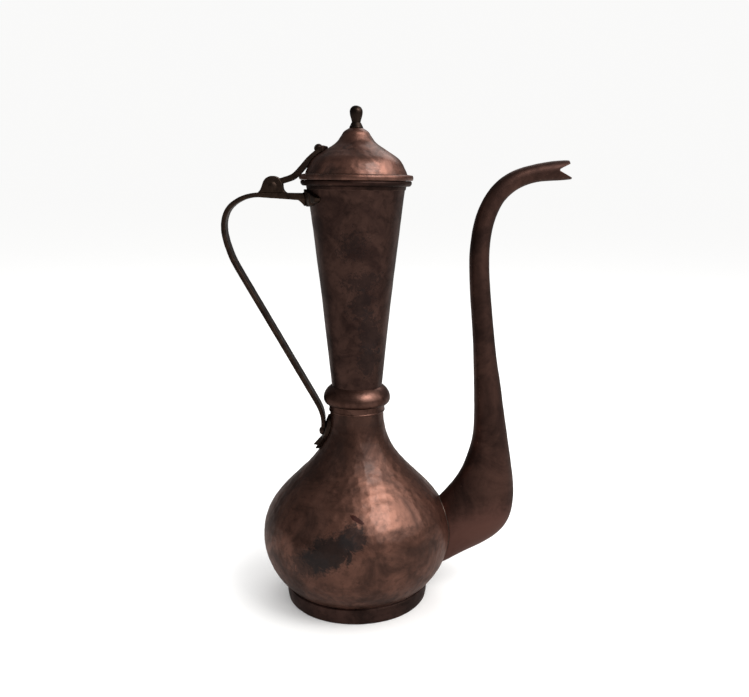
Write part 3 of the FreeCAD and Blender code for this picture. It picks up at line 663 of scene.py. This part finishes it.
# painted shade: the spout's copper is a darker copy of the belly's, with a patch of painted light on its
# lower front
spoutCopperPaintedLightAndShade = metalFinish("spoutCopperPaintedLightAndShade", dict(
    copperLook, bare=(0.138, 0.071, 0.056), aged=(0.048, 0.027, 0.023), cloudSize=38.0, specks=0.25,
    markSize=6.0, markDepth=0.06, edgeWear=0.2, stainsAndPaintedLight=spoutPaintedLight))
# painted shade: the foot ring's copper is a darker copy of the belly's
footCopperPaintedShade = metalFinish("footCopperPaintedShade", dict(
    copperLook, bare=(0.122, 0.067, 0.056), aged=(0.052, 0.031, 0.027), markDepth=0.03))
# painted shade: the rim band under the lid's brim is a darker copy of the copper
rimCopperPaintedShade = metalFinish("rimCopperPaintedShade", dict(
    copperLook, bare=(0.088, 0.046, 0.037), aged=(0.036, 0.021, 0.018), edgeWear=0.35, markDepth=0.02))
beadCopper = metalFinish("beadCopper", dict(
    copperLook, bare=(0.21, 0.110, 0.086), markDepth=0.04, edgeWear=0.1, roughLow=0.34, roughHigh=0.46))
castBronze = metalFinish("castBronze", dict(
    copperLook, bare=(0.082, 0.052, 0.039), aged=(0.032, 0.021, 0.017), rubbed=(0.20, 0.135, 0.10),
    roughLow=0.40, roughHigh=0.56, cloudSize=10.0, edgeWear=0.5, dirt=0.9, markDepth=0.02, gritDepth=0.02))
# painted shade: the finial's bronze is a darker copy of the cast bronze
finialBronzePaintedShade = metalFinish("finialBronzePaintedShade", dict(
    copperLook, bare=(0.048, 0.032, 0.025), aged=(0.021, 0.015, 0.012), rubbed=(0.16, 0.11, 0.08),
    roughLow=0.40, roughHigh=0.56, cloudSize=8.0, edgeWear=0.4, dirt=0.9, markDepth=0.02, gritDepth=0.02))
rivetCopper = metalFinish("rivetCopper", dict(
    copperLook, bare=(0.10, 0.062, 0.048), aged=(0.038, 0.026, 0.022), edgeWear=0.5, markDepth=0.01))
solderGrey = metalFinish("solderGrey", dict(
    copperLook, bare=(0.14, 0.095, 0.078), aged=(0.045, 0.030, 0.026), rubbed=(0.4, 0.33, 0.28),
    cloudSize=12.0, roughLow=0.38, roughHigh=0.55, markDepth=0.01, gritDepth=0.02))
print("finishes are mixed")


# belly, foot and base

bellyShape = {
    "wall": 1.2, "footRadius": 52.1, "footTop": 12.8, "radius": 68.9, "height": 50.3, "startAngle": 41.7,
    "lowerPull": 14.3, "shoulderPull": 40.4, "throatPull": 46.4, "topRadius": 19.2, "topHeight": 143.0,
    "spigot": 10.0, "baseFlat": 38.0, "baseHeight": 6.0, "baseDish": 1.6, "columns": 440, "step": 1.05,
    "dentSize": 4.2, "dentDepth": 0.22, "waveSize": 26.0, "waveDepth": 0.16, "markSpacing": 6.2,
    "dish": [(0.0, 0.0), (10.0, -0.15), (20.0, -0.5), (30.0, -1.1)],
    "baseRows": 14, "insideLowerRows": 24, "insideUpperRows": 44,
}


def bellyCurves(shape):
    lean = math.radians(shape["startAngle"])
    out = np.array([math.cos(lean), math.sin(lean)])
    start = np.array([shape["footRadius"], shape["footTop"]])
    widest = np.array([shape["radius"], shape["height"]])
    top = np.array([shape["topRadius"], shape["topHeight"]])
    lower = bezier([start, start + out * shape["lowerPull"], widest - [0, shape["lowerPull"]], widest], 200)
    upper = bezier([widest, widest + [0, shape["shoulderPull"]], top - [0, shape["throatPull"]], top], 400)
    reach = (shape["footRadius"] - shape["baseFlat"]) / 2
    flat = np.array([shape["baseFlat"], shape["baseHeight"]])
    base = bezier([flat, flat + [reach, 0], start - out * reach, start], 60)
    return base, lower, upper


baseCurve, lowerCurve, upperCurve = bellyCurves(bellyShape)


def makeBelly(shape):
    step, wall = shape["step"], shape["wall"]
    lower = evened(lowerCurve, countFor(lowerCurve, step))
    upper = evened(upperCurve, countFor(upperCurve, step))
    base = evened(baseCurve, shape["baseRows"])
    bottom = stepsFrom(0, shape["baseHeight"] + shape["baseDish"], shape["dish"])
    insideLower = insetBy(evened(lowerCurve, shape["insideLowerRows"]), wall)[::-1]
    insideLower[0] = (shape["radius"] - wall, shape["height"])
    insideBase = insetBy(base, wall)[::-1]
    insideBottom = bottom[::-1] + [0, wall]
    mesh = turned("bellyLowerSheet", [bottom, base, lower, insideLower, insideBase, insideBottom],
                  shape["columns"], closed=False)
    whole = np.vstack([baseCurve, lowerCurve, upperCurve])
    marks = hammerRings(whole, shape["markSpacing"], seeds["belly"])
    hammer(mesh, marks, shape, joint=shape["height"])
    cutBore(mesh)
    lowerPiece = addPiece("bellyLowerSheet", mesh, "pot", ["belly_lower"])
    dress(lowerPiece, bellyCopper)
    spigotTop = shape["topHeight"] + shape["spigot"]
    spigot = np.array([[shape["topRadius"], spigotTop], [shape["topRadius"] - wall, spigotTop]])
    insideUpper = insetBy(evened(upperCurve, shape["insideUpperRows"]), wall)[::-1]
    insideUpper[-1] = (shape["radius"] - wall, shape["height"])
    mesh = turned("bellyUpperSheet", [upper, spigot, insideUpper], shape["columns"])
    hammer(mesh, marks, shape, joint=shape["height"])
    cutBore(mesh)
    upperPiece = addPiece("bellyUpperSheet", mesh, "pot", ["belly_upper"])
    dress(upperPiece, bellyCopper)


# the spout's channel where it opens into the belly: its neck-side point and its outer point, both
# from the belly's widest point, and its width
boreSections = [((-17.0, 12.0), (-19.0, -30.3), 26.0), ((-7.0, 26.4), (8.8, -19.9), 29.0),
                ((4.6, 41.0), (30.5, -8.5), 30.5)]


def cutBore(mesh, segments=72):
    # opens the sheet where the spout's channel runs through it
    rows = []
    for inner, outer, width in boreSections:
        inner, outer = stepsFrom(bellyShape["radius"], bellyShape["height"], [inner, outer])
        middle, across = (inner + outer) / 2, (outer - inner) / np.linalg.norm(outer - inner)
        deep = np.linalg.norm(outer - inner) / 2 - bellyShape["wall"]
        wide = width / 2 - bellyShape["wall"]
        for index in range(segments):
            angle = 2 * math.pi * index / segments
            spot = middle + across * deep * math.cos(angle)
            rows.append((spot[0] * mm, wide * math.sin(angle) * mm, spot[1] * mm))
    faces = [tuple(range(segments))[::-1], tuple(range(2 * segments, 3 * segments))]
    for row in range(2):
        for index in range(segments):
            after = (index + 1) % segments
            low, high = row * segments, (row + 1) * segments
            faces.append((low + index, low + after, high + after, high + index))
    tool = bpy.data.meshes.new("boreTool")
    tool.from_pydata(rows, [], faces)
    tidyMesh(tool)
    cutter = bpy.data.objects.new("boreTool", tool)
    target = bpy.data.objects.new("boreTarget", mesh)
    scene.collection.objects.link(cutter)
    scene.collection.objects.link(target)
    cut = target.modifiers.new("bore", "BOOLEAN")
    cut.operation = "DIFFERENCE"
    cut.solver = "EXACT"
    cut.object = cutter
    depsgraph = bpy.context.evaluated_depsgraph_get()
    done = bpy.data.meshes.new_from_object(target.evaluated_get(depsgraph))
    bpy.data.objects.remove(target)
    bpy.data.objects.remove(cutter)
    work = bmesh.new()
    work.from_mesh(done)
    work.to_mesh(mesh)
    work.free()


makeBelly(bellyShape)
print("belly is raised and hammered")

footShape = {
    "radius": 52.1, "height": 12.8, "lip": 1.0, "bulge": 0.5, "hem": 3.2, "crease": 1.1, "columns": 260,
    "sideRows": 28, "sideStart": (-0.4, 0.8), "sideInset": 0.2, "sideGap": 0.1,
    "creaseSteps": [(-0.5, 0.0), (-0.9, 0.35), (-0.35, 0.75)],
    "lipSteps": [(-0.25, 0.1), (-0.7, 0.55), (-1.4, 0.35), (-1.7, -0.4)],
    "insideSteps": [(-1.7, 3.5), (-2.0, 1.9)], "hemSteps": [(0.0, 1.5), (-0.1, 0.7), (0.4, 0.0)],
    "standSteps": [(-1.4, 0.0), (-0.8, 0.2)],
    "dentSize": 4.0, "dentDepth": 0.03, "waveSize": 18.0, "waveDepth": 0.10, "markSpacing": 6.0,
}


def makeFoot(shape):
    radius, height, crease = shape["radius"], shape["height"], shape["crease"]
    startAcross, startUp = shape["sideStart"]
    outer = bezier([(radius + startAcross, startUp), (radius + 2 * shape["bulge"], height / 2),
                    (radius - shape["sideInset"], height + shape["lip"])], shape["sideRows"])
    outer = outer[outer[:, 1] < height - crease - shape["sideGap"]]
    chain = [outer, stepsFrom(radius, height - crease, shape["creaseSteps"]),
             stepsFrom(radius, height, shape["lipSteps"]), stepsFrom(radius, 0, shape["insideSteps"]),
             stepsFrom(radius - shape["hem"], 0, shape["hemSteps"]),
             stepsFrom(radius, 0, shape["standSteps"])]
    mesh = turned("footRing", chain, shape["columns"])
    marks = hammerRings(outer, shape["markSpacing"], seeds["foot"])
    hammer(mesh, marks, shape)
    places, normals = readMesh(mesh)
    places[:, 2] = np.maximum(places[:, 2], 0)
    writeMesh(mesh, places)
    dress(addPiece("footRing", mesh, "pot", ["foot_ring"]), footCopperPaintedShade)


makeFoot(footShape)

# collar, bead, neck and rim

neckShape = {
    "wall": 1.2, "gap": 0.05, "collar": 0.8, "collarLow": 143.3, "collarLength": 5.2, "beadHeight": 13.4,
    "beadPull": 5.4, "topRadius": 33.5, "topHeight": 302.9, "hollow": 0.65, "low": 146.0, "columns": 300,
    "step": 1.1, "dentSize": 4.0, "dentDepth": 0.07, "waveSize": 24.0, "waveDepth": 0.15,
    "markSpacing": 5.4, "insideRows": 50, "collarColumns": 200,
    "collarFoot": [(-0.75, -0.05), (-0.2, 0.05), (0.05, 0.45), (0.05, 1.0), (-0.2, 1.3)],
    "collarHead": [(-0.2, -0.5), (-0.05, 0.3), (-0.75, 0.3)],
}
beadShape = {"lowShare": 0.04, "highShare": 0.66, "seat": 0.15, "wallShare": 0.9, "rows": 44,
             "columns": 240, "markSpacing": 5.0, "dentDepth": 0.03, "waveDepth": 0.10, "waveSize": 14.0}
beadLow = neckShape["collarLow"] + neckShape["collarLength"]
beadHigh = beadLow + neckShape["beadHeight"]
neckFootRadius = bellyShape["topRadius"] - neckShape["wall"] - neckShape["gap"]
neckStart = np.array([neckFootRadius, beadHigh])
neckEnd = np.array([neckShape["topRadius"], neckShape["topHeight"]])
neckCurve = bezier([neckStart, (neckStart + neckEnd) / 2 - [2 * neckShape["hollow"], 0], neckEnd], 300)


def makeNeck(shape):
    wall, collarRadius = shape["wall"], bellyShape["topRadius"] + shape["collar"]
    collar = [stepsFrom(collarRadius, shape["collarLow"], shape["collarFoot"]),
              stepsFrom(collarRadius, beadLow, shape["collarHead"])]
    mesh = turned("neckCollar", collar, shape["collarColumns"])
    dress(addPiece("neckCollar", mesh, "pot", ["neck_collar"]), beadCopper)
    bead, swell, tall = beadShape, collarRadius + shape["beadPull"], shape["beadHeight"]
    curve = bezier([(collarRadius, beadLow), (swell, beadLow + bead["lowShare"] * tall),
                    (swell, beadLow + bead["highShare"] * tall), (neckFootRadius + bead["seat"], beadHigh)],
                   bead["rows"])
    inside = insetBy(curve, wall * bead["wallShare"])[::-1][2:-2]
    mesh = turned("neckBead", [curve, inside], bead["columns"])
    hammer(mesh, hammerRings(curve, bead["markSpacing"], seeds["bead"]), dict(shape, **bead))
    dress(addPiece("neckBead", mesh, "pot", ["neck_bead"]), beadCopper)
    outer = evened(neckCurve, countFor(neckCurve, shape["step"]))
    tail = np.array([[neckFootRadius - wall, shape["low"]], [neckFootRadius, shape["low"]]])
    inside = insetBy(evened(neckCurve, shape["insideRows"]), wall)[::-1]
    mesh = turned("neckTube", [tail, outer, inside], shape["columns"])
    hammer(mesh, hammerRings(outer, shape["markSpacing"], seeds["neck"]), shape)
    dress(addPiece("neckTube", mesh, "pot", ["neck_tube"]), neckCopperPaintedShade)


makeNeck(neckShape)

rimShape = {
    "radius": 37.3, "height": 3.6, "skirt": 2.4, "underside": 2.2, "edge": 0.7,
    "rows": 18, "columns": 260, "waveSize": 20.0, "waveDepth": 0.10,
    "skirtFoot": [(-0.3, 0.05), (0.35, 0.0), (0.5, 0.35)], "skirtHead": [(0.5, -0.2), (0.8, 0.0)],
    "backTop": 0.05, "backLow": 0.1,
}


def makeRim(shape):
    top, radius, neckRadius = neckShape["topHeight"], shape["radius"], neckShape["topRadius"]
    lip, edge = top - shape["height"], shape["edge"]
    low = lip - shape["skirt"]
    roll = bezier([(neckRadius + shape["underside"], lip), (radius + edge / 3, lip + edge),
                   (radius + edge / 2, top - edge), (radius - edge, top)], shape["rows"])
    lowRadius, lipRadius = (float(np.interp(level, neckCurve[:, 1], neckCurve[:, 0]))
                            for level in (low, lip))
    back = np.array([[neckRadius + shape["backTop"], top], [neckRadius - shape["backLow"], lip]])
    chain = [stepsFrom(lowRadius, low, shape["skirtFoot"]), stepsFrom(lipRadius, lip, shape["skirtHead"]),
             roll, back]
    mesh = turned("rimBand", chain, shape["columns"])
    places, normals = readMesh(mesh)
    waves = wander(places, shape["waveSize"] * mm, 2, 8.0) * shape["waveDepth"] * mm
    places += normals * waves[:, None]
    places[:, 2] = np.minimum(places[:, 2], top * mm)
    writeMesh(mesh, places)
    dress(addPiece("rimBand", mesh, "pot", ["rim_band"]), rimCopperPaintedShade)


makeRim(rimShape)
print("neck is standing")

# spout, with its solder seam on the belly

spoutLook = {"voxel": 0.42, "rounds": 10, "dentSize": 5.0, "dentDepth": 0.06, "waveSize": 22.0,
             "waveDepth": 0.18, "markSpacing": 6.5, "markThinning": 3, "sharpAngle": 60}
seamLook = {"radius": 0.55, "near": 0.25, "steps": 96, "sides": 10, "candidates": 6, "sweeps": 3,
            "lump": 0.35, "lumpScale": 300, "sharpAngle": 80}


def makeSpout(look):
    mesh = recast("swanSpout", "spout", look["voxel"], look["rounds"])
    places, normals = readMesh(mesh)
    marks = scatterMarks(places[::look["markThinning"]], look["markSpacing"] * mm, seeds["spout"])
    hammer(mesh, marks, look, outsideOnly=False)
    dress(addPiece("swanSpout", mesh, "pot", ["spout"]), spoutCopperPaintedLightAndShade, look["sharpAngle"])


def makeSeam(look):
    # the spout's edge on the belly, read from the CAD spout, gets a run of solder
    places, normals = readMesh(cadNodes["spout"].data)
    outline = np.vstack([lowerCurve, upperCurve]) * mm
    reach = np.hypot(places[:, 0], places[:, 1])
    away = [np.min(np.hypot(outline[:, 0] - r, outline[:, 1] - z)) for r, z in zip(reach, places[:, 2])]
    edge = places[np.array(away) < look["near"] * mm]
    middle = edge.mean(0)
    angle = np.arctan2(edge[:, 2] - middle[2], edge[:, 1] - middle[1])
    far = np.hypot(edge[:, 1] - middle[1], edge[:, 2] - middle[2])
    steps, sides = look["steps"], look["sides"]
    path = []
    for index in range(steps):
        here = -math.pi + 2 * math.pi * index / steps
        gap = np.abs((angle - here + math.pi) % (2 * math.pi) - math.pi)
        close = np.argsort(gap)[:look["candidates"]]
        best = close[np.argmax(far[close])]
        path.append(edge[best])
    path = np.array(path)
    for sweep in range(look["sweeps"]):
        path = (np.roll(path, 1, 0) + 2 * path + np.roll(path, -1, 0)) / 4
    verts, faces = [], []
    for index, spot in enumerate(path):
        along = Vector(path[(index + 1) % steps] - path[index - 1]).normalized()
        outward = Vector((spot[0], spot[1], 0)).normalized()
        across = along.cross(outward).normalized()
        rise = across.cross(along).normalized()
        lump = 1 + look["lump"] * noise.noise(Vector(spot) * look["lumpScale"])
        for side in range(sides):
            turnBy = 2 * math.pi * side / sides
            offset = (across * math.cos(turnBy) + rise * math.sin(turnBy)) * look["radius"] * mm * lump
            verts.append(Vector(spot) + offset)
    for index in range(steps):
        for side in range(sides):
            low, high = index * sides, ((index + 1) % steps) * sides
            after = (side + 1) % sides
            faces.append((low + side, low + after, high + after, high + side))
    mesh = bpy.data.meshes.new("spoutSolder")
    mesh.from_pydata([tuple(v) for v in verts], [], faces)
    tidyMesh(mesh)
    dress(addPiece("spoutSolder", mesh, "pot", ()), solderGrey, look["sharpAngle"])


makeSpout(spoutLook)
makeSeam(seamLook)
print("spout is soldered on")

# cast handle, palmette, leaf and hinge

castLook = {"voxel": 0.38, "rounds": 5, "grainSize": 3.2, "grainDepth": 0.07, "grainSeed": 1.7,
            "sharpAngle": 70}
leafLook = {"thinnedOver": 3.5, "leftAtTop": 0.45}


def thinLeafTop(mesh, look):
    # the leaf's upper end runs out thin on the throat
    places, normals = readMesh(mesh)
    rising = np.array(sorted((height, radius) for radius, height in upperCurve)) * mm
    surface = np.interp(places[:, 2], rising[:, 0], rising[:, 1])
    radius = np.hypot(places[:, 0], places[:, 1])
    near = np.clip(1 + (places[:, 2] - places[:, 2].max()) / (look["thinnedOver"] * mm), 0, 1)
    kept = 1 - (1 - look["leftAtTop"]) * near
    thinned = np.minimum(radius, surface) + np.maximum(radius - surface, 0) * kept
    places[:, :2] *= (thinned / radius)[:, None]
    writeMesh(mesh, places)


def makeCast(name, nodeName, body, material, voxel=None, rounds=None, leaf=None):
    mesh = recast(name, nodeName, voxel or castLook["voxel"], rounds or castLook["rounds"])
    if leaf:
        thinLeafTop(mesh, leaf)
    roughen(mesh, castLook["grainSize"], castLook["grainDepth"], castLook["grainSeed"])
    dress(addPiece(name, mesh, body, [nodeName]), material, castLook["sharpAngle"])


makeCast("handleStrap", "handle_strap", "pot", castBronze)
makeCast("neckPalmette", "neck_palmette", "pot", castBronze, voxel=0.26, rounds=8)
makeCast("handleLeaf", "handle_leaf", "pot", castBronze, voxel=0.22, rounds=8, leaf=leafLook)
makeCast("leafRivet", "leaf_rivet", "pot", rivetCopper, voxel=0.22, rounds=3)
makeCast("hingeCheekFront", "hinge_cheek_front", "pot", castBronze, voxel=0.26, rounds=6)
makeCast("hingeCheekRear", "hinge_cheek_rear", "pot", castBronze, voxel=0.26, rounds=6)
makeCast("lidStrap", "lid_strap", "lid", castBronze, voxel=0.3, rounds=5)
makeCast("strapEndRivet", "strap_end_rivet", "lid", rivetCopper, voxel=0.22, rounds=3)
makeCast("strapFlushRivet", "strap_flush_rivet", "lid", rivetCopper, voxel=0.2, rounds=2)
makeCast("finialBud", "finial", "lid", finialBronzePaintedShade, voxel=0.22, rounds=3)
makeCast("finialCollar", "finial_collar", "lid", finialBronzePaintedShade, voxel=0.2, rounds=2)
dressCad("hinge_pin", castBronze)
dressCad("finial_washer", rivetCopper)
dressCad("lid_bezel", rimCopperPaintedShade)
print("handle and hinge are cast")

# lid

lidShape = {
    "wall": 1.2, "seat": 303.0, "radius": 38.1, "brim": 3.5, "slope": 0.5, "brimRound": 0.9,
    "domeRadius": 34.2, "domeHeight": 29.2,
    "side": [(1.0, 0.0), (0.966, 0.10), (0.845, 0.33), (0.602, 0.525), (0.398, 0.68), (0.292, 0.835),
             (0.240, 0.925), (0.143, 1.0)],
    "holeShare": 0.4, "bezelRadius": 30.98, "domeRows": 60, "brimRows": 16, "insideRows": 30,
    "columns": 300, "dentSize": 3.4, "dentDepth": 0.09, "waveSize": 16.0, "waveDepth": 0.14,
    "markSpacing": 4.6,
}


def makeLid(shape):
    seat, radius, wall = shape["seat"], shape["radius"], shape["wall"]
    domeLow = seat + shape["brim"] + shape["slope"]
    side = [(shape["domeRadius"] * r, domeLow + shape["domeHeight"] * h) for r, h in shape["side"]]
    dome = smoothThrough(side, shape["domeRows"])
    edge, brimTop = shape["brimRound"], seat + shape["brim"]
    brim = bezier([(radius - edge, seat), (radius + edge / 2, seat), (radius + edge / 2, brimTop),
                   (radius - edge, brimTop)], shape["brimRows"])
    top = domeLow + shape["domeHeight"]
    holeRadius = shape["domeRadius"] * shape["side"][-1][0] * shape["holeShare"]
    hole = np.array([[holeRadius, top], [holeRadius, top - wall]])
    inner = insetBy(evened(dome, shape["insideRows"]), wall)[::-1]
    shelf = np.array([[shape["bezelRadius"], domeLow - wall], [shape["bezelRadius"], seat]])
    mesh = turned("lidDome", [brim, dome, hole, inner, shelf], shape["columns"])
    hammer(mesh, hammerRings(dome, shape["markSpacing"], seeds["lid"]), shape)
    places, normals = readMesh(mesh)
    places[:, 2] = np.maximum(places[:, 2], seat * mm)
    writeMesh(mesh, places)
    dress(addPiece("lidDome", mesh, "lid", ["lid_dome"]), lidCopperPaintedLight)


makeLid(lidShape)
print("lid is on")
